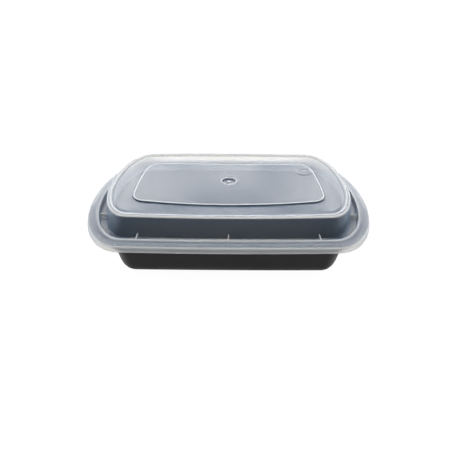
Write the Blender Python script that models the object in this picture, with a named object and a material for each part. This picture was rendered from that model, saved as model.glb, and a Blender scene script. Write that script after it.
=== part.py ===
"""Rectangular takeaway meal container: a black tray with a translucent domed lid snapped on."""

import bmesh
import bpy
import numpy as np

MM = 0.001

# Plan of the lid's outer edge: half length, half width at the middle, bow of the long side, corner radii.
RIM_HALF_X = 111.5
RIM_HALF_Y = 77.3
RIM_BOW = 2.7
RIM_CORNER_X = 37.4
RIM_CORNER_Y = 73.6

# Heights above the table.
SKIRT_BOTTOM = 34.0
RIM_CREST = 39.0
GUTTER_FLOOR = 35.0
FOOT_HEIGHT = 36.0
WALL_TOP = 50.2
SHOULDER_TOP = 51.6
LEDGE_HEIGHT = 50.1
SHOULDER_SAG = 0.4

# Dome of the lid: plan at its foot and at its shoulder.
FOOT_HALF_X = 95.7
FOOT_HALF_Y = 59.3
FOOT_CORNER_FLARE = 1.4
SHOULDER_HALF_X = 94.3
SHOULDER_HALF_Y = 58.6
DOME_BOW = 1.0
DOME_CORNER_X = 23.2
DOME_CORNER_Y = 53.1

# Raised panel on the dome, and the round recess at its middle.
PANEL_HALF_X = 73.8
PANEL_HALF_Y = 37.5
PANEL_CORNER_X = 9.0
PANEL_CORNER_Y = 20.0
PANEL_END_BOW = 1.2
PANEL_RISE = 0.9
PANEL_MIDDLE = 50.4
PANEL_SAG = 1.3
DIMPLE_RADIUS = 6.2
DIMPLE_DEPTH = 0.8
NUB_RADIUS = 1.1
NUB_HEIGHT = 0.45

LID_WALL = 0.6
TRAY_WALL = 0.75

# Tray: wall inset under the rim, its draft and the fillet round the floor.
TRAY_INSET = 13.25
TRAY_DRAFT = 0.184
TRAY_FILLET = 6.0
TRAY_LEDGE = 33.25
TRAY_BOW = 0.8

# Thin webs across the gutter.
WEB_THICKNESS = 0.8
WEB_BOTTOM = 34.7
WEB_TOP = 38.7
WEB_X = (-63.5, 0.0, 63.5)
WEB_Y = (-31.0, 31.0)
WEB_BITE = 0.45
WEB_OUTER_INSET = 8.2

SIDE_POINTS = 6
CORNER_POINTS = 10
END_POINTS = 2


def outline(half_x, half_y, corner_x, corner_y, bow, end_bow=0.0):
    """Ring of plan points in mm, anticlockwise: a rectangle with elliptical corners and bowed sides."""
    base_x = half_x - end_bow
    base_y = half_y - bow
    corner_y = min(corner_y, base_y - 0.5)
    end = np.column_stack(
        (
            np.full(END_POINTS, base_x),
            np.linspace(0.0, base_y - corner_y, END_POINTS, endpoint=False),
        )
    )
    turn = np.linspace(0.0, np.pi / 2, CORNER_POINTS, endpoint=False)
    corner = np.column_stack(
        (
            base_x - corner_x + corner_x * np.cos(turn),
            base_y - corner_y + corner_y * np.sin(turn),
        )
    )
    side = np.column_stack(
        (
            np.linspace(base_x - corner_x, 0.0, SIDE_POINTS, endpoint=False),
            np.full(SIDE_POINTS, base_y),
        )
    )
    first = np.vstack((end, corner, side))
    middle = np.array([[0.0, base_y]])
    second = np.vstack((middle, (first * (-1, 1))[:0:-1]))
    half = np.vstack((first, second))
    ring = np.vstack((half, -half))
    bowed = ring.copy()
    bowed[:, 0] += np.sign(ring[:, 0]) * end_bow * (1 - (ring[:, 1] / base_y) ** 2)
    bowed[:, 1] += np.sign(ring[:, 1]) * bow * (1 - (ring[:, 0] / base_x) ** 2)
    return bowed


def inset_outline(inset):
    """The lid's outer edge moved inwards; the corners shrink more slowly once past the tray's wall."""
    shrink = min(inset, TRAY_INSET) + 0.6 * max(inset - TRAY_INSET, 0.0)
    bow = max(RIM_BOW - 0.14 * inset, TRAY_BOW)
    return outline(
        RIM_HALF_X - inset,
        RIM_HALF_Y - inset,
        RIM_CORNER_X - shrink,
        RIM_CORNER_Y - shrink,
        bow,
    )


def foot_outline(outset):
    return outline(
        FOOT_HALF_X + outset,
        FOOT_HALF_Y + outset,
        DOME_CORNER_X + FOOT_CORNER_FLARE + outset,
        DOME_CORNER_Y + FOOT_CORNER_FLARE + outset,
        DOME_BOW,
    )


def shoulder_outline(inset):
    return outline(
        SHOULDER_HALF_X - inset,
        SHOULDER_HALF_Y - inset,
        DOME_CORNER_X - inset,
        DOME_CORNER_Y - inset,
        DOME_BOW,
    )


def panel_outline(inset):
    return outline(
        PANEL_HALF_X - inset,
        PANEL_HALF_Y - inset,
        PANEL_CORNER_X - inset,
        PANEL_CORNER_Y - inset,
        0.0,
        PANEL_END_BOW,
    )


def circle(radius):
    """Ring of the same number of points, each in the direction of its point on the panel's edge."""
    edge = panel_outline(0.0)
    return radius * edge / np.linalg.norm(edge, axis=1, keepdims=True)


def ring(plan, height, sag=0.0):
    """Plan points at a height in mm; sag lowers the middle of the length."""
    lowered = height - sag * (1 - (plan[:, 0] / RIM_HALF_X) ** 2)
    return np.column_stack((plan, lowered))


def panel_height(x, below=0.0):
    return PANEL_MIDDLE + PANEL_SAG * (x / PANEL_HALF_X) ** 2 - below


def panel_ring(plan, below=0.0):
    return np.column_stack((plan, panel_height(plan[:, 0], below)))


def lid_rings():
    """Rings of the lid's upper surface, from the skirt's lower edge to the middle of the panel."""
    rim = (
        (0.0, SKIRT_BOTTOM),
        (0.15, SKIRT_BOTTOM + 0.7),
        (0.6, SKIRT_BOTTOM + 1.3),
        (0.75, 37.1),
        (1.1, 37.7),
        (1.9, 37.95),
        (5.0, 38.3),
        (6.1, 38.85),
        (7.1, RIM_CREST),
        (7.8, 38.75),
        (8.25, 38.1),
        (8.9, 36.1),
        (9.4, 35.35),
        (10.3, GUTTER_FLOOR),
    )
    rings = [ring(inset_outline(inset), height) for inset, height in rim]
    foot = ((1.3, GUTTER_FLOOR), (0.4, GUTTER_FLOOR + 0.35), (0.0, FOOT_HEIGHT))
    rings += [ring(foot_outline(outset), height) for outset, height in foot]
    shoulder = (
        (0.0, WALL_TOP),
        (0.3, 51.0),
        (1.1, 51.45),
        (2.2, SHOULDER_TOP),
        (3.6, 51.25),
        (4.9, 50.5),
        (6.4, LEDGE_HEIGHT),
    )
    rings += [ring(shoulder_outline(inset), height, SHOULDER_SAG) for inset, height in shoulder]
    rings.append(panel_ring(panel_outline(-0.9), PANEL_RISE))
    rings.append(panel_ring(panel_outline(-0.2), 0.2))
    rings.append(panel_ring(panel_outline(0.7)))
    rings.append(panel_ring(circle(DIMPLE_RADIUS + 0.4)))
    rings.append(panel_ring(circle(DIMPLE_RADIUS - 0.2), 0.25))
    rings.append(panel_ring(circle(DIMPLE_RADIUS - 1.3), DIMPLE_DEPTH))
    rings.append(panel_ring(circle(NUB_RADIUS + 0.5), DIMPLE_DEPTH))
    rings.append(panel_ring(circle(NUB_RADIUS), DIMPLE_DEPTH - NUB_HEIGHT))
    return rings


def tray_rings():
    """Rings of the tray's outer surface, from the flange's edge down to the middle of the floor."""
    ledge = (
        (2.3, 36.2),
        (5.3, 36.5),
        (6.2, 36.2),
        (6.6, 35.6),
        (7.0, 34.4),
        (7.6, 33.6),
        (8.6, TRAY_LEDGE),
        (11.9, TRAY_LEDGE),
        (12.9, 32.9),
        (13.5, 32.0),
    )
    rings = [ring(inset_outline(inset), height) for inset, height in ledge]
    draft = np.arctan(TRAY_DRAFT)
    wall_end = TRAY_FILLET * (1 - np.sin(draft))
    wall_inset = TRAY_INSET + TRAY_DRAFT * (SKIRT_BOTTOM - wall_end)
    centre_inset = wall_inset + TRAY_FILLET * np.cos(draft)
    for turn in np.linspace(np.pi / 2 - draft, 0.0, 6):
        inset = centre_inset - TRAY_FILLET * np.sin(turn)
        rings.append(ring(inset_outline(inset), TRAY_FILLET * (1 - np.cos(turn))))
    return rings


def skin(rings, facing):
    """Faces between the rings in turn, with the last one filled; facing is the sign of its normals' height."""
    bm = bmesh.new()
    rows = [[bm.verts.new(point * MM) for point in points] for points in rings]
    for upper, lower in zip(rows, rows[1:]):
        for i in range(len(upper)):
            j = (i + 1) % len(upper)
            bm.faces.new((upper[i], upper[j], lower[j], lower[i]))
    last = rows[-1]
    middle = bm.verts.new(np.mean([v.co for v in last], axis=0))
    for i in range(len(last)):
        bm.faces.new((last[i], last[(i + 1) % len(last)], middle))
    bm.normal_update()
    bm.faces.ensure_lookup_table()
    if bm.faces[-1].normal.z * facing < 0:
        bmesh.ops.reverse_faces(bm, faces=bm.faces)
    return bm


def finished(name, bm, material):
    mesh = bpy.data.meshes.new(name)
    bm.to_mesh(mesh)
    bm.free()
    mesh.materials.append(material)
    obj = bpy.data.objects.new(name, mesh)
    bpy.context.scene.collection.objects.link(obj)
    return obj


def thickened(obj, wall):
    solid = obj.modifiers.new("wall", "SOLIDIFY")
    solid.thickness = wall * MM
    solid.offset = -1.0
    solid.use_even_offset = True
    return obj


def web(low, high):
    """A thin upright plate between two corners in mm."""
    bm = bmesh.new()
    bmesh.ops.create_cube(bm, size=1.0)
    size = np.subtract(high, low)
    centre = np.add(high, low) / 2
    for vert in bm.verts:
        vert.co = (np.array(vert.co) * size + centre) * MM
    return bm


def add_webs(lid, material):
    half = WEB_THICKNESS / 2
    bars = []
    for x in WEB_X:
        bow = 1 - (x / RIM_HALF_X) ** 2
        inner = FOOT_HALF_Y - DOME_BOW * (1 - bow) - WEB_BITE
        outer = RIM_HALF_Y - RIM_BOW * (1 - bow) - WEB_OUTER_INSET
        bars.append(((x - half, inner, WEB_BOTTOM), (x + half, outer, WEB_TOP)))
        bars.append(((x - half, -outer, WEB_BOTTOM), (x + half, -inner, WEB_TOP)))
    foot = foot_outline(-WEB_BITE)
    rim = inset_outline(WEB_OUTER_INSET)
    for y in WEB_Y:
        inner = np.abs(foot[np.argmin(np.hypot(foot[:, 0] - FOOT_HALF_X, foot[:, 1] - y)), 0])
        outer = np.abs(rim[np.argmin(np.hypot(rim[:, 0] - RIM_HALF_X, rim[:, 1] - y)), 0])
        bars.append(((inner, y - half, WEB_BOTTOM), (outer, y + half, WEB_TOP)))
        bars.append(((-outer, y - half, WEB_BOTTOM), (-inner, y + half, WEB_TOP)))
    for i, (low, high) in enumerate(bars):
        bar = finished(f"web_{i}", web(low, high), material)
        bar.hide_render = True
        bar.display_type = "WIRE"
        joined = lid.modifiers.new(f"web_{i}", "BOOLEAN")
        joined.operation = "UNION"
        joined.object = bar


def plastic(name, color, roughness, transmission=0.0, alpha=1.0):
    material = bpy.data.materials.new(name)
    material.use_nodes = True
    shader = material.node_tree.nodes["Principled BSDF"]
    shader.inputs["Base Color"].default_value = (*color, 1.0)
    shader.inputs["Roughness"].default_value = roughness
    shader.inputs["IOR"].default_value = 1.49
    shader.inputs["Transmission Weight"].default_value = transmission
    shader.inputs["Alpha"].default_value = alpha
    return material


def main():
    for obj in list(bpy.data.objects):
        bpy.data.objects.remove(obj)
    black = plastic("black_plastic", (0.018, 0.017, 0.018), 0.5)
    milky = plastic("milky_plastic", (0.82, 0.85, 0.88), 0.25, 0.85)
    tray = thickened(finished("tray", skin(tray_rings(), -1), black), TRAY_WALL)
    lid = thickened(finished("lid", skin(lid_rings(), 1), milky), LID_WALL)
    add_webs(lid, milky)
    for obj in (tray, lid):
        obj.data.shade_smooth()


main()
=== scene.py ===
import math

import bpy
import numpy as np
from mathutils import Matrix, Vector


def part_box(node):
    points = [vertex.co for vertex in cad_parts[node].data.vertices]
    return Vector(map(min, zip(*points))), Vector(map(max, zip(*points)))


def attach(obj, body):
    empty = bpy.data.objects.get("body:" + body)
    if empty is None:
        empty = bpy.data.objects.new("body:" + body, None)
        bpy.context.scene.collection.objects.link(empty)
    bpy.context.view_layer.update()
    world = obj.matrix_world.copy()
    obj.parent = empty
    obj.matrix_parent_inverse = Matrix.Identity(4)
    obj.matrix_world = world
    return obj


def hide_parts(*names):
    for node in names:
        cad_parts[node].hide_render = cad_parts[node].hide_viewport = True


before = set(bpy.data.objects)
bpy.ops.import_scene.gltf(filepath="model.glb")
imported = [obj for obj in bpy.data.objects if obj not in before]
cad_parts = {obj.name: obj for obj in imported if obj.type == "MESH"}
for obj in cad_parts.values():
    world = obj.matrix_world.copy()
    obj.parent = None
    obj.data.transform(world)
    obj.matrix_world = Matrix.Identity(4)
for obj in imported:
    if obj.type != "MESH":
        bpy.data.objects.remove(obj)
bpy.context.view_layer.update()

mm = 0.001  # every size below is in millimetres and becomes metres when a mesh is made
lidLow, lidHigh = [np.array(corner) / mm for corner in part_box("lid")]
print("frame loaded, lid", lidLow.round(2), lidHigh.round(2))


# Plans, seen from above. Each is a rectangle whose corners are quarter ellipses and whose sides bow out.
def planOf(halfX, halfY, cornerX, cornerY, bow, endBow=0.0):
    names = ("halfX", "halfY", "cornerX", "cornerY", "bow", "endBow")
    return dict(zip(names, (halfX, halfY, cornerX, cornerY, bow, endBow)))


rimPlan = planOf(lidHigh[0], lidHigh[1], 37.4, 73.6, 2.7)
footPlan = planOf(95.7, 59.9, 21.0, 48.0, 2.6)
shoulderPlan = planOf(94.3, 59.05, 23.2, 52.6, 3.3)
panelPlan = planOf(72.2, 37.4, 7.0, 8.5, 3.2, 1.8)

# The panel's length shrinks evenly towards the back, and faster over its last stretch.
panelTaper = {"even": 0.0004, "from": 18.0, "over": 19.0, "pull": 0.04}

# Columns run round every plan at the same places, so that webs across the gutter stay straight.
columns = {
    "endCount": 9,  # columns from the end's middle to endSpan
    "cornerCount": 31,
    "straightCount": 2,
    "sideCount": 22,
    "endSpan": 40.0,
    "sideSpan": 66.0,
}
webs = {
    "x": (0.0, 64.0),
    "y": (31.0,),
    "half": 0.35,
    "skin": 0.04,
    "top": 37.2,
    "from": 8.15,
    "to": 18.0,
    # the webs' high haze paints them as white spikes: partly the thick rib's own milkiness, partly painted
    # highlight
    "hazeAndPaintedHighlight": 0.6,
}


# Places of both edges of each web, with one more column just outside each.
def webEdges(centres):
    half, outside = webs["half"], webs["half"] + webs["skin"]
    return [centre + step for centre in centres for step in (-outside, -half, half, outside)]


def isWeb(places, centres):
    near = np.abs(places[:, None] - np.array(centres)[None, :]) <= webs["half"] + 0.001
    return near.any(axis=1)


endSteps = np.linspace(0, columns["endSpan"], columns["endCount"])
endPlaces = np.unique(np.concatenate((endSteps, webEdges(webs["y"]))))
sideSteps = np.linspace(0, columns["sideSpan"], columns["sideCount"])
sidePlaces = np.unique(np.abs(np.concatenate((sideSteps, webEdges(webs["x"])))))[::-1]
plainCount = columns["cornerCount"] + columns["straightCount"]


# A quarter goes end, corner, side; mirrored across Y and then turned half round, it closes the ring.
def ringOf(quarter):
    half = np.concatenate((quarter, (quarter * (-1, 1))[::-1][1:-1]))
    return np.concatenate((half, -half))


endWeb, sideWeb = isWeb(endPlaces, webs["y"]), isWeb(sidePlaces, webs["x"])
quarterWeb = np.concatenate((endWeb, np.zeros(plainCount, bool), sideWeb))
halfWeb = np.concatenate((quarterWeb, quarterWeb[::-1][1:-1]))
webColumns = np.concatenate((halfWeb, halfWeb))


# Ellipse corner: x = centre + rx cos t, y = centre + ry sin t; a side bows by bow (1 - (x / halfX)^2).
def planRing(plan, inset=0.0, shrink=None, spans=1.0):
    shrink = inset if shrink is None else shrink
    baseX = plan["halfX"] - inset - plan["endBow"]
    baseY = plan["halfY"] - inset - plan["bow"]
    rx = plan["cornerX"] - shrink
    ry = min(plan["cornerY"] - shrink, baseY - 0.5)
    endY = endPlaces * spans
    rise = np.clip((endY - (baseY - ry)) / ry, 0, 1)
    end = np.column_stack((baseX - rx + rx * np.sqrt(1 - rise**2), endY))
    turns = np.linspace(math.asin(rise[-1]), math.pi / 2, columns["cornerCount"] + 1)[1:]
    corner = np.column_stack((baseX - rx + rx * np.cos(turns), baseY - ry + ry * np.sin(turns)))
    sideX = sidePlaces * spans
    straightX = np.linspace(baseX - rx, sideX[0], columns["straightCount"] + 2)[1:-1]
    straight = np.column_stack((straightX, np.full(len(straightX), baseY)))
    side = np.column_stack((sideX, np.full(len(sideX), baseY)))
    ring = ringOf(np.concatenate((end, corner, straight, side)))
    bowX = np.sign(ring[:, 0]) * plan["endBow"] * (1 - (ring[:, 1] / baseY) ** 2)
    bowY = np.sign(ring[:, 1]) * plan["bow"] * (1 - (ring[:, 0] / baseX) ** 2)
    return ring + np.column_stack((bowX, bowY))


rimInset = {
    "wall": 13.25,  # past this inset the corners shrink by slowShare of it
    "slowShare": 0.6,
    "bowFade": 0.14,
    "leastBow": 0.8,
    "push": 0.8,
    "pushFrom": 5.0,
    "pushRise": 3.0,
    "pushTo": 14.0,
    "pushFall": 4.0,
}


# The rim's plan moved inwards: its bow fades, and past the tray's wall its corners shrink more slowly.
# Between the two, the middle of each long side is pushed out a little and the bow grows to match.
def insetRing(inset, cut=0.0):
    wall = rimInset["wall"]
    shrink = min(inset, wall) + rimInset["slowShare"] * max(inset - wall, 0)
    pushIn = np.clip((inset - rimInset["pushFrom"]) / rimInset["pushRise"], 0, 1)
    pushOut = np.clip((rimInset["pushTo"] - inset) / rimInset["pushFall"], 0, 1)
    push = rimInset["push"] * float(pushIn * pushOut)
    bow = max(rimPlan["bow"] - rimInset["bowFade"] * inset, rimInset["leastBow"]) + 2 * push
    cornerX = rimPlan["cornerX"] + cut + 2 * push
    cornerY = rimPlan["cornerY"] - cut
    plan = dict(rimPlan, halfY=rimPlan["halfY"] + push, bow=bow, cornerX=cornerX, cornerY=cornerY)
    return planRing(plan, inset, shrink)


innerSpans = 0.75  # the panel's columns lie closer together than the rim's
dimpleMiddle = (0.0, 2.9)


def panelRing(inset):
    edge = planRing(panelPlan, inset, spans=innerSpans)
    past = np.clip((edge[:, 1] - panelTaper["from"]) / panelTaper["over"], 0, 1)
    scale = 1 - panelTaper["even"] * edge[:, 1] - panelTaper["pull"] * past**2
    return np.column_stack((edge[:, 0] * scale, edge[:, 1]))


def circleRing(radius):
    edge = planRing(panelPlan, spans=innerSpans)
    return radius * edge / np.linalg.norm(edge, axis=1, keepdims=True) + dimpleMiddle


# Rings at any place along a path: straight blends between the stations, which are (place, ring).
def ringsAt(places, stations):
    known = np.array([station[0] for station in stations])
    rings = np.array([station[1] for station in stations])
    after = np.clip(np.searchsorted(known, places), 1, len(known) - 1)
    share = (places - known[after - 1]) / (known[after] - known[after - 1])
    share = np.clip(share, 0, 1)[:, None, None]
    return rings[after - 1] * (1 - share) + rings[after] * share


# A profile with its corners rounded: each corner becomes a parabola between its two tangent points.
# A corner may hold more numbers after its place and height, and the path carries them along.
def roundedPath(corners, radii, steps=7, longest=3.0):
    corners = np.array(corners, float)
    path = [corners[:1]]
    for before, corner, after, radius in zip(corners, corners[1:], corners[2:], radii):
        toBefore, toAfter = before - corner, after - corner
        lengths = np.linalg.norm(toBefore[:2]), np.linalg.norm(toAfter[:2])
        toBefore, toAfter = toBefore / lengths[0], toAfter / lengths[1]
        turn = math.acos(float(np.clip(-toBefore[:2] @ toAfter[:2], -1, 1)))
        reach = min(radius * math.tan(turn / 2), 0.48 * lengths[0], 0.48 * lengths[1])
        t = np.linspace(0, 1, steps)[:, None]
        start, end = corner + toBefore * reach, corner + toAfter * reach
        path.append((1 - t) ** 2 * start + 2 * t * (1 - t) * corner + t**2 * end)
    path = np.concatenate(path + [corners[-1:]])
    pieces = [path[:1]]
    for start, end in zip(path, path[1:]):
        count = max(1, int(np.ceil(np.linalg.norm((end - start)[:2]) / longest)))
        pieces.append(start + (end - start) * (np.arange(1, count + 1) / count)[:, None])
    return np.concatenate(pieces)


# The same corners moved sideways by a distance, to the right of the path, with mitred corners.
def movedCorners(corners, distance):
    corners = np.array(corners, float)
    along = np.diff(corners[:, :2], axis=0)
    along /= np.linalg.norm(along, axis=1, keepdims=True)
    normals = np.column_stack((along[:, 1], -along[:, 0]))
    first, last = normals[:1], normals[-1:]
    before, after = np.concatenate((first, normals)), np.concatenate((normals, last))
    mitre = (before + after) / (1 + (before * after).sum(axis=1, keepdims=True))
    return np.column_stack((corners[:, :2] + mitre * distance, corners[:, 2:]))


# Corner radii for the moved path: a corner turning right gets tighter, one turning left gets wider.
def movedRadii(corners, radii, distance):
    along = np.diff(np.array(corners, float), axis=0)
    turn = along[:-1, 0] * along[1:, 1] - along[:-1, 1] * along[1:, 0]
    return np.clip(np.array(radii) + np.sign(turn) * distance, 0.12, None)


# One closed surface from rings in order, a pole at each end; the faces are turned to point out.
def ringSurface(name, rings, material):
    count, around = rings.shape[:2]
    points = np.concatenate((rings.reshape(-1, 3), rings[:1].mean(axis=1), rings[-1:].mean(axis=1)))
    i, j = np.meshgrid(np.arange(count - 1), np.arange(around), indexing="ij")
    k = (j + 1) % around
    quads = np.stack((i * around + j, i * around + k, (i + 1) * around + k, (i + 1) * around + j), axis=-1)
    a = np.arange(around)
    b = (a + 1) % around
    startPole, endPole = count * around, count * around + 1
    startCap = np.column_stack((np.full(around, startPole), b, a))
    endCap = np.column_stack((np.full(around, endPole), a + (count - 1) * around, b + (count - 1) * around))
    quads = quads.reshape(-1, 4)
    caps = np.concatenate((startCap, endCap))
    triangles = np.concatenate((quads[:, :3], quads[:, [0, 2, 3]], caps))
    volume = np.linalg.det(points[triangles]).sum()
    if volume < 0:
        quads, caps = quads[:, ::-1], caps[:, ::-1]
    faces = quads.tolist() + caps.tolist()
    return newPiece(name, points, faces, material)


def newPiece(name, points, faces, material, sharpAngle=38):
    mesh = bpy.data.meshes.new(name)
    mesh.from_pydata((points * mm).tolist(), [], faces)
    mesh.validate()
    mesh.shade_smooth()
    mesh.set_sharp_from_angle(angle=math.radians(sharpAngle))
    mesh.materials.append(material)
    piece = bpy.data.objects.new(name, mesh)
    bpy.context.scene.collection.objects.link(piece)
    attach(piece, "root")
    return piece


def setAttribute(mesh, name, values):
    attribute = mesh.attributes.new(name, "FLOAT", "POINT")
    attribute.data.foreach_set("value", values.astype(np.float32))


# Materials
def newMaterial(name, settings):
    material = bpy.data.materials.new(name)
    material.use_nodes = True
    shader = material.node_tree.nodes["Principled BSDF"]
    for socket, value in settings.items():
        shader.inputs[socket].default_value = value
    return material, material.node_tree, shader


def noiseNode(tree, scale, detail=3.0, roughness=0.5):
    place = tree.nodes.new("ShaderNodeTexCoord")
    noise = tree.nodes.new("ShaderNodeTexNoise")
    noise.inputs["Scale"].default_value = scale
    noise.inputs["Detail"].default_value = detail
    noise.inputs["Roughness"].default_value = roughness
    tree.links.new(place.outputs["Object"], noise.inputs["Vector"])
    return noise


def rangeOf(tree, source, low, high, toLow, toHigh):
    spread = tree.nodes.new("ShaderNodeMapRange")
    for socket, value in zip(("From Min", "From Max", "To Min", "To Max"), (low, high, toLow, toHigh)):
        spread.inputs[socket].default_value = value
    tree.links.new(source, spread.inputs["Value"])
    return spread.outputs["Result"]


def attributeNode(tree, name):
    attribute = tree.nodes.new("ShaderNodeAttribute")
    attribute.attribute_name = name
    return attribute.outputs["Fac"]


def sumOf(tree, first, second, operation="ADD"):
    total = tree.nodes.new("ShaderNodeMath")
    total.operation = operation
    tree.links.new(first, total.inputs[0])
    tree.links.new(second, total.inputs[1])
    return total.outputs["Value"]


def bumpFrom(tree, height, distance, strength):
    bump = tree.nodes.new("ShaderNodeBump")
    bump.inputs["Distance"].default_value = distance
    bump.inputs["Strength"].default_value = strength
    tree.links.new(height, bump.inputs["Height"])
    return bump.outputs["Normal"]


trayFinish = {"Base Color": (0.0095, 0.008, 0.0085, 1), "IOR": 1.49, "Specular IOR Level": 0.16}
lidFinish = {
    "Base Color": (0.84, 0.808, 0.748, 1),
    "IOR": 1.28,
    "Sheen Weight": 0.15,
    "Sheen Roughness": 0.9,
    "Sheen Tint": (0.16, 0.5, 1.0, 1),
}


def blackPlastic():
    material, tree, shader = newMaterial("trayBlackPlastic", trayFinish)
    grain = noiseNode(tree, 2600, 2)
    cloud = noiseNode(tree, 45, 3)
    tree.links.new(rangeOf(tree, cloud.outputs["Fac"], 0.3, 0.7, 0.40, 0.52), shader.inputs["Roughness"])
    tree.links.new(bumpFrom(tree, grain.outputs["Fac"], 0.00006, 0.1), shader.inputs["Normal"])
    return material


def milkyPlastic():
    material, tree, shader = newMaterial("lidMilkyPlastic", lidFinish)
    cloud = noiseNode(tree, 60, 3)
    flow = noiseNode(tree, 22, 2)
    polish = rangeOf(tree, cloud.outputs["Fac"], 0.3, 0.7, 0.05, 0.08)
    dull = rangeOf(tree, attributeNode(tree, "matte"), 0.0, 1.0, 0.0, 0.225)
    tree.links.new(sumOf(tree, polish, dull), shader.inputs["Roughness"])
    tree.links.new(bumpFrom(tree, flow.outputs["Fac"], 0.0006, 0.02), shader.inputs["Normal"])
    # Less light passes clear where the haze is high; the high haze along the lid's edges, ridges and webs
    # is partly painted highlight.
    clear = rangeOf(tree, attributeNode(tree, "hazeAndPaintedHighlight"), 0.0, 1.0, 1.0, 0.0)
    tree.links.new(clear, shader.inputs["Transmission Weight"])
    return material


trayBlack = blackPlastic()
lidMilky = milkyPlastic()


# Tray
tray = {
    "wall": 0.75,
    "draft": 0.184,
    "wallInset": 14.3,  # at the height of the lid's lower edge
    "filletRadius": 8.5,
    "flangeEdge": 1.4,
    "flangeCut": 15.0,  # how much wider the flange's corners are than the rim's
    "cutFade": 12.0,  # the inset at which that difference is gone
    "lastInset": 34.0,
    "centre": 74.0,
    "centreScale": 0.002,
}


def makeTray():
    low = lidLow[2]
    slope = tray["draft"]
    floorInset = tray["wallInset"] + slope * low
    corners = [
        (tray["flangeEdge"], 33.0),
        (4.0, 32.75),
        (8.0, 32.3),
        (14.5, 32.3),
        (floorInset, 0.0),
        (tray["centre"], 0.0),
    ]
    radii = [0.5, 0.9, 1.4, tray["filletRadius"]]
    last = tray["lastInset"]
    insets = np.arange(1.0, last + 0.1, 1.0)
    cuts = tray["flangeCut"] * np.maximum(1 - insets / tray["cutFade"], 0)
    stations = [(inset, insetRing(inset, cut)) for inset, cut in zip(insets, cuts)]
    stations.append((tray["centre"], insetRing(last) * tray["centreScale"]))
    outer = roundedPath(corners, radii)
    innerCorners = movedCorners(corners, -tray["wall"])
    inner = roundedPath(innerCorners, movedRadii(corners, radii, -tray["wall"]))
    path = np.concatenate((outer[::-1], inner))
    plans = ringsAt(path[:, 0], stations)
    heights = np.broadcast_to(path[:, 1][:, None, None], plans.shape[:2] + (1,))
    return ringSurface("trayShell", np.concatenate((plans, heights), axis=2), trayBlack)


trayShell = makeTray()
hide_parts("tray")
print("tray", len(trayShell.data.polygons), "faces")


# Lid
lid = {
    "wall": 0.5,
    "shoulderSag": 0.4,
    "panelSag": 2.3,
    "panelTop": 49.1,  # at the middle of the length, where the panel is lowest
    "ledgeLift": 1.1,
    "topGap": 0.02,
}
# The rim's inner line, partly a painted highlight, is less milky towards the ends: insets where it rises
# and fades, and where along x.
innerLineFade = {"line": (6.0, 7.5, 9.3, 9.6), "share": (0, 1, 1, 0), "from": 62.0, "over": 40.0, "most": 0.5}
lidStations = {"foot": 16.4, "shoulder": 17.5, "panel": 38.0, "circle": 81.6}


def lidPlans():
    stations = [(inset, insetRing(inset)) for inset in np.arange(0, 10.6, 0.5)]
    stations += [(lidStations["foot"] - out, planRing(footPlan, -out)) for out in (1.3, 0.6, 0.0)]
    stations += [(lidStations["shoulder"] + i, planRing(shoulderPlan, i)) for i in np.arange(0, 6.5, 0.8)]
    stations += [(lidStations["panel"] + i, panelRing(i)) for i in (-0.9, 0.0, 0.9, 1.8)]
    stations += [(lidStations["circle"] - r, circleRing(r)) for r in (7.0, 4.0, 1.0, 0.05)]
    return stations


# Profile of the lid's upper side: place, height, haze, matte. Haze is the share of light that the
# plastic scatters: the low values are the sheet's own milkiness, and the high values along the rim's
# edges, the shoulder bead and the panel's edges are partly milkier thick plastic and partly painted
# highlight lines; matte goes from 0 where it is glossy to 1 where the sheet was stretched dull.
lidCorners = [
    (0.0, 33.6, 0.50, 1),
    (0.0, 34.3, 0.30, 1),
    (0.7, 34.9, 0.24, 1),
    (0.75, 36.3, 0.26, 1),
    (0.75, 36.8, 0.45, 1),
    (0.8, 37.3, 0.60, 1),
    (1.15, 37.6, 0.45, 1),
    (1.7, 37.88, 0.12, 1),
    (5.8, 38.15, 0.08, 1),
    (7.0, 39.0, 0.12, 1),
    (8.4, 39.05, 0.40, 1),
    (9.2, 39.05, 0.58, 1),
    (9.4, 37.9, 0.12, 1),
    (9.9, 34.4, 0.05, 1),
    (16.3, 34.05, 0.02, 1),
    (16.5, 37.2, 0.05, 1),
    (17.3, 49.9, 0.01, 1),
    (17.4, 50.4, 0.40, 1),
    (17.5, 50.7, 0.72, 1),
    (18.1, 51.4, 0.72, 1),
    (18.45, 51.58, 0.14, 0.6),
    (19.3, 51.58, 0.06, 0.6),
    (19.85, 51.58, 0.45, 1),
    (20.4, 51.5, 0.40, 0.7),
    (21.9, 50.1, 0.05, 0),
    (36.95, 48.05, 0.02, 0),
    (37.55, 48.95, 0.02, 0.2),
    (37.75, 49.15, 0.62, 1),
    (38.25, 49.18, 0.62, 1),
    (38.8, lid["panelTop"], 0.05, 0),
    (74.9, lid["panelTop"], 0.10, 0),
    (75.15, 49.25, 0.80, 0.5),
    (75.6, 49.25, 0.80, 0.5),
    (76.1, 47.9, 0.02, 0),
    (79.9, 47.9, 0.12, 0),
    (80.4, 48.6, 0.35, 0),
    (81.55, 48.6, 0.35, 0),
]
lidRadii = [0.3, 0.5, 0.9, 0.3, 0.4, 0.3, 0.3, 0.8, 0.5, 0.6, 0.3, 0.5, 0.6, 0.4, 2.0]
lidRadii += [0.6, 0.3, 0.3, 0.3, 0.4, 0.3, 0.4, 0.5, 0.6, 0.2, 0.3, 0.2, 0.2, 0.3]
lidRadii += [0.2, 0.2, 0.2, 0.3, 0.3, 0.2]


# The sag lowers the middle of the length: by s (1 - (x / halfX)^2) on the shoulder, and the panel's
# ends rise by p (x / panelHalf)^2; between the two the share goes from one to the other. The front
# ledge also starts higher towards its ends, by l (x / panelHalf)^2 (y / ledgeHalf)^2.
sagPlaces = {"panelFrom": 22.5, "panelOver": 14.5, "ledge": (20.3, 21.9, 36.9), "ledgeHalf": 50.0}


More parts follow.
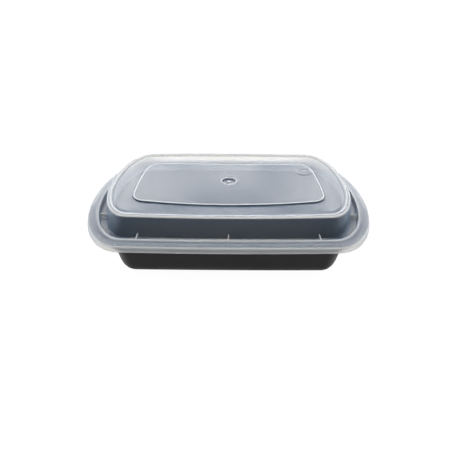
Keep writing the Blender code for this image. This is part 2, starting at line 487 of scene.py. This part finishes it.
def lidSag(places, plans):
    onShoulder = np.clip(places - lidStations["foot"], 0, 1)[:, None]
    onPanel = np.clip((places - sagPlaces["panelFrom"]) / sagPlaces["panelOver"], 0, 1)[:, None]
    x = plans[:, :, 0]
    shoulder = -lid["shoulderSag"] * (1 - (x / rimPlan["halfX"]) ** 2)
    panel = lid["panelSag"] * (x / panelPlan["halfX"]) ** 2
    onLedge = np.interp(places, sagPlaces["ledge"], (0, 1, 0))[:, None]
    front = np.clip(-plans[:, :, 1] / sagPlaces["ledgeHalf"], 0, 1)
    ledge = np.clip(x / panelPlan["halfX"], -1, 1) ** 2 * front**2
    sag = onShoulder * ((1 - onPanel) * shoulder + onPanel * panel)
    return sag + lid["ledgeLift"] * onLedge * ledge


def makeLid():
    upper = roundedPath(lidCorners, lidRadii, steps=5)
    underCorners = movedCorners(lidCorners, lid["wall"])
    under = roundedPath(underCorners, movedRadii(lidCorners, lidRadii, -lid["wall"]), steps=3)
    path = np.concatenate((upper[::-1], under))
    stations = lidPlans()
    plans = ringsAt(path[:, 0], stations)
    heights = path[:, 1][:, None] + lidSag(path[:, 0], plans)
    heights = np.minimum(heights, lidHigh[2] - lid["topGap"])
    gutter = (path[:, 0] > webs["from"]) & (path[:, 0] < webs["to"])
    gutter[len(upper):] = False
    inWeb = gutter[:, None] & webColumns[None, :] & (heights < webs["top"])
    heights = np.where(inWeb, webs["top"], heights)
    shell = ringSurface("lidShell", np.concatenate((plans, heights[:, :, None]), axis=2), lidMilky)
    onLine = np.interp(path[:, 0], innerLineFade["line"], innerLineFade["share"])[:, None]
    towardsEnd = np.clip((np.abs(plans[:, :, 0]) - innerLineFade["from"]) / innerLineFade["over"], 0, 1)
    hazeAndPaintedHighlight = path[:, 2][:, None] * (1 - innerLineFade["most"] * onLine * towardsEnd)
    hazeAndPaintedHighlight = np.where(inWeb, webs["hazeAndPaintedHighlight"], hazeAndPaintedHighlight)
    matte = np.broadcast_to(path[:, 3][:, None], hazeAndPaintedHighlight.shape)
    setAttribute(shell.data, "hazeAndPaintedHighlight", np.concatenate((hazeAndPaintedHighlight.ravel(), path[[0, -1], 2])))
    setAttribute(shell.data, "matte", np.concatenate((matte.ravel(), path[[0, -1], 3])))
    return shell


lidShell = makeLid()
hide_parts("lid")
print("lid", len(lidShell.data.polygons), "faces")


# Height of the lid's panel, from the rise of its ends.
def panelHeight(x):
    return lid["panelTop"] + lid["panelSag"] * (x / panelPlan["halfX"]) ** 2


# A closed slab from a grid of tops and a flat grid of undersides.
def slab(name, x, y, tops, lows):
    rows, across = x.shape
    top, low = np.stack((x, y, tops), axis=-1), np.stack((x, y, lows), axis=-1)
    points = np.concatenate((top.reshape(-1, 3), low.reshape(-1, 3)))
    i, j = np.meshgrid(np.arange(rows - 1), np.arange(across - 1), indexing="ij")
    a = (i * across + j).ravel()
    quads = np.column_stack((a, a + 1, a + across + 1, a + across))
    under = quads[:, ::-1] + rows * across
    index = np.arange(rows * across).reshape(rows, across)
    rim = np.concatenate((index[0], index[1:, -1], index[-1, -2::-1], index[-2:0:-1, 0]))
    ahead = np.roll(rim, -1)
    side = np.column_stack((rim, rim + rows * across, ahead + rows * across, ahead))
    faces = np.concatenate((quads, under, side))
    corners = points[faces]
    area = np.cross(corners[:, 1] - corners[:, 0], corners[:, 2] - corners[:, 0])
    if (area * corners[:, 0]).sum() < 0:
        faces = faces[:, ::-1]
    return newPiece(name, points, faces.tolist(), lidMilky)


grip = {
    "from": 2.0,
    "to": 4.9,
    "half": 76.5,
    "pitch": 1.6,
    "rows": 2,
    "steps": 6,  # columns and rows of the mesh to each dome
    "height": 0.3,
    "lift": 0.02,
    "skin": 0.03,
    "hazeAndPaintedHighlight": 0.26,
    "matte": 0.3,
}
rimTop = {"insets": (1.7, 5.8), "heights": (37.88, 38.15)}


# Where a ring's back edge lies at each x.
def backEdge(ring, x):
    back = ring[ring[:, 1] > 0]
    back = back[np.argsort(back[:, 0])]
    return np.interp(x, back[:, 0], back[:, 1])


# Knurling: small domes, height h |sin(pi u)| |sin(pi v)|, along a strip of the rim's top.
def makeGrip(name, side):
    domes = int(2 * grip["half"] / grip["pitch"])
    u = np.linspace(0, domes, domes * grip["steps"] + 1)
    v = np.linspace(0, grip["rows"], grip["rows"] * grip["steps"] + 1)
    inset = grip["from"] + (grip["to"] - grip["from"]) * v / v[-1]
    x = -grip["half"] + u * grip["pitch"]
    rings = ringsAt(inset, [(place, insetRing(place)) for place in np.arange(0, 8.1, 1.0)])
    y = np.array([backEdge(ring, x) for ring in rings])
    x = np.broadcast_to(x, y.shape)
    dome = np.abs(np.sin(np.pi * u[None, :]) * np.sin(np.pi * v[:, None]))
    base = np.interp(inset, rimTop["insets"], rimTop["heights"])
    low = np.broadcast_to((base + grip["lift"])[:, None], y.shape)
    strip = slab(name, x, side * y, low + grip["skin"] + grip["height"] * dome, low)
    # Haze grows towards each dome's top, which paints the tops as small highlights over the plastic's own
    # milkiness.
    hazeAndPaintedHighlight = np.concatenate((dome.ravel() ** 2, np.zeros(dome.size))) * grip["hazeAndPaintedHighlight"]
    setAttribute(strip.data, "hazeAndPaintedHighlight", hazeAndPaintedHighlight)
    setAttribute(strip.data, "matte", np.full(len(hazeAndPaintedHighlight), grip["matte"]))
    return strip


for name, side in {"gripFront": -1, "gripBack": 1}.items():
    makeGrip(name, side)

plainRing = {
    "at": (64.0, 17.8),
    "radius": 6.2,
    "thick": 0.2,
    "gap": 0.04,
    "around": 72,
    "about": 12,
    "hazeAndPaintedHighlight": 0.6,
}


# A thin raised ring on the panel: a torus, its middle on the panel's own height.
def makePlainRing():
    around, about = plainRing["around"], plainRing["about"]
    turns = np.linspace(0, 2 * np.pi, around + 1)[:-1], np.linspace(0, 2 * np.pi, about + 1)[:-1]
    u, v = np.meshgrid(*turns, indexing="ij")
    radius = plainRing["radius"] + plainRing["thick"] * np.cos(v)
    x = plainRing["at"][0] + radius * np.cos(u)
    y = plainRing["at"][1] + radius * np.sin(u)
    z = panelHeight(x) + plainRing["gap"] + plainRing["thick"] * (1 + np.sin(v))
    points = np.stack((x, y, z), axis=-1).reshape(-1, 3)
    i, j = [axis.ravel() for axis in np.meshgrid(np.arange(around), np.arange(about), indexing="ij")]
    k, m = (i + 1) % around, (j + 1) % about
    faces = np.column_stack((i * about + j, k * about + j, k * about + m, i * about + m))
    ring = newPiece("plainRing", points, faces.tolist(), lidMilky)
    # The ring's high haze paints it as a light outline on the panel: partly milkier plastic, partly painted
    # highlight.
    setAttribute(ring.data, "hazeAndPaintedHighlight", np.full(len(points), plainRing["hazeAndPaintedHighlight"]))
    setAttribute(ring.data, "matte", np.full(len(points), 1.0))
    return ring


makePlainRing()
print("grips and ring ready")


# Studio
studio = {
    "floorHalf": 12.0,
    "floorGlow": 0.97,
    "wallColor": (1.0, 0.985, 0.975),
    "front": 0.2,
    "behind": 1.35,
    "low": 0.9,
}
# Soft patches on the wall behind: degrees to the right, degrees up, reach in degrees, and added
# strength, which is below zero where the wall is darker.
wallLights = {
    "wash": (0.0, 25.0, 60.0, 0.85),
    "left": (-11.5, 29.0, 9.0, 1.9),
    "right": (10.8, 28.8, 8.5, 2.0),
    "middle": (0.0, 24.5, 4.5, 0.45),
    "foldLeft": (-8.5, 24.0, 4.0, -0.7),
    "foldRight": (7.5, 24.3, 4.5, -1.0),
    "gapLeft": (-5.5, 28.8, 3.5, -0.6),
    "gapRight": (6.0, 28.8, 4.0, -0.7),
    "cornerLeft": (-13.4, 24.0, 3.5, -0.5),
    "cornerRight": (13.0, 24.2, 3.6, -0.7),
    "crest": (0.0, 37.0, 9.5, 1.9),
    "crestLeft": (-14.0, 37.5, 8.0, 1.3),
    "crestRight": (14.0, 37.5, 8.0, 1.1),
    "endLeft": (-20.0, 24.5, 7.5, 1.3),
    "endRight": (20.0, 25.5, 8.0, 1.2),
    "lowMiddle": (0.0, 18.5, 7.0, 0.25),
    "lowLeft": (-14.0, 18.0, 5.0, -0.6),
    "lowRight": (13.0, 19.0, 6.0, -0.55),
}


def litTable():
    settings = {"Base Color": (0.12, 0.12, 0.12, 1), "Roughness": 1.0, "Specular IOR Level": 0.0}
    material, tree, shader = newMaterial("litTable", settings)
    shader.inputs["Emission Color"].default_value = (1, 1, 1, 1)
    shader.inputs["Emission Strength"].default_value = studio["floorGlow"]
    return material


# The room is dim on the camera's side and white behind the table; each patch fades from its
# centre by the cosine of the angle to it.
def lightWorld(tree, background):
    place = tree.nodes.new("ShaderNodeTexCoord")
    split = tree.nodes.new("ShaderNodeSeparateXYZ")
    tree.links.new(place.outputs["Generated"], split.inputs["Vector"])
    strength = rangeOf(tree, split.outputs["Y"], -0.05, 0.5, studio["front"], studio["behind"])
    for right, up, reach, added in wallLights.values():
        right, up, reach = math.radians(right), math.radians(up), math.radians(reach)
        near = tree.nodes.new("ShaderNodeVectorMath")
        near.operation = "DOT_PRODUCT"
        tree.links.new(place.outputs["Generated"], near.inputs[0])
        centre = math.sin(right) * math.cos(up), math.cos(right) * math.cos(up), math.sin(up)
        near.inputs[1].default_value = centre
        glow = rangeOf(tree, near.outputs["Value"], math.cos(reach), 1.0, 0.0, added)
        glow.node.interpolation_type = "SMOOTHSTEP"
        strength = sumOf(tree, strength, glow)
    dimming = rangeOf(tree, split.outputs["Z"], 0.22, 0.38, studio["low"], 1.0)
    strength = sumOf(tree, strength, dimming, "MULTIPLY")
    tree.links.new(strength, background.inputs["Strength"])


def makeStudio():
    half = studio["floorHalf"]
    mesh = bpy.data.meshes.new("floor")
    corners = [(-half, -half, 0), (half, -half, 0), (half, half, 0), (-half, half, 0)]
    mesh.from_pydata(corners, [], [(0, 1, 2, 3)])
    mesh.materials.append(litTable())
    floor = bpy.data.objects.new("floor", mesh)
    bpy.context.scene.collection.objects.link(floor)
    world = bpy.context.scene.world or bpy.data.worlds.new("studio")
    bpy.context.scene.world = world
    world.use_nodes = True
    background = world.node_tree.nodes["Background"]
    background.inputs["Color"].default_value = (*studio["wallColor"], 1)
    lightWorld(world.node_tree, background)


softboxes = {
    "top": {
        "at": (0.0, 0.0, 1.1),
        "aim": (0.0, 0.0, 0.05),
        "size": (2.2, 1.4),
        "power": 17.0,
        "color": (0.93, 0.98, 1.06),
    },
}


def makeSoftbox(name, box):
    light = bpy.data.lights.new(name, "AREA")
    light.shape = "RECTANGLE"
    light.size, light.size_y = box["size"]
    light.energy = box["power"]
    light.color = box["color"]
    lamp = bpy.data.objects.new(name, light)
    bpy.context.scene.collection.objects.link(lamp)
    at, aim = np.array(box["at"]), np.array(box["aim"])
    back = at - aim
    back /= np.linalg.norm(back)
    side = np.cross((0, 0, 1), back) if abs(back[2]) < 0.99 else np.array((1.0, 0, 0))
    side /= np.linalg.norm(side)
    up = np.cross(back, side)
    axes = np.column_stack((side, up, back))
    lamp.matrix_world = Matrix.Translation(at) @ Matrix(axes.tolist()).to_4x4()


makeStudio()
for name, box in softboxes.items():
    makeSoftbox(name + "Softbox", box)

cameraView = {"at": (1.1, -274.56, 181.07), "lookDown": 33.05, "roll": 0.32, "lens": 28.85}


def makeCamera():
    data = bpy.data.cameras.new("camera")
    data.lens = cameraView["lens"]
    data.sensor_width = 36
    data.clip_start = 0.01
    camera = bpy.data.objects.new("camera", data)
    bpy.context.scene.collection.objects.link(camera)
    tilt = Matrix.Rotation(math.radians(90 - cameraView["lookDown"]), 4, "X")
    roll = Matrix.Rotation(math.radians(cameraView["roll"]), 4, "Z")
    camera.matrix_world = Matrix.Translation([value * mm for value in cameraView["at"]]) @ tilt @ roll
    bpy.context.scene.camera = camera


makeCamera()
bpy.context.scene.view_settings.view_transform = "Standard"
print("studio ready")
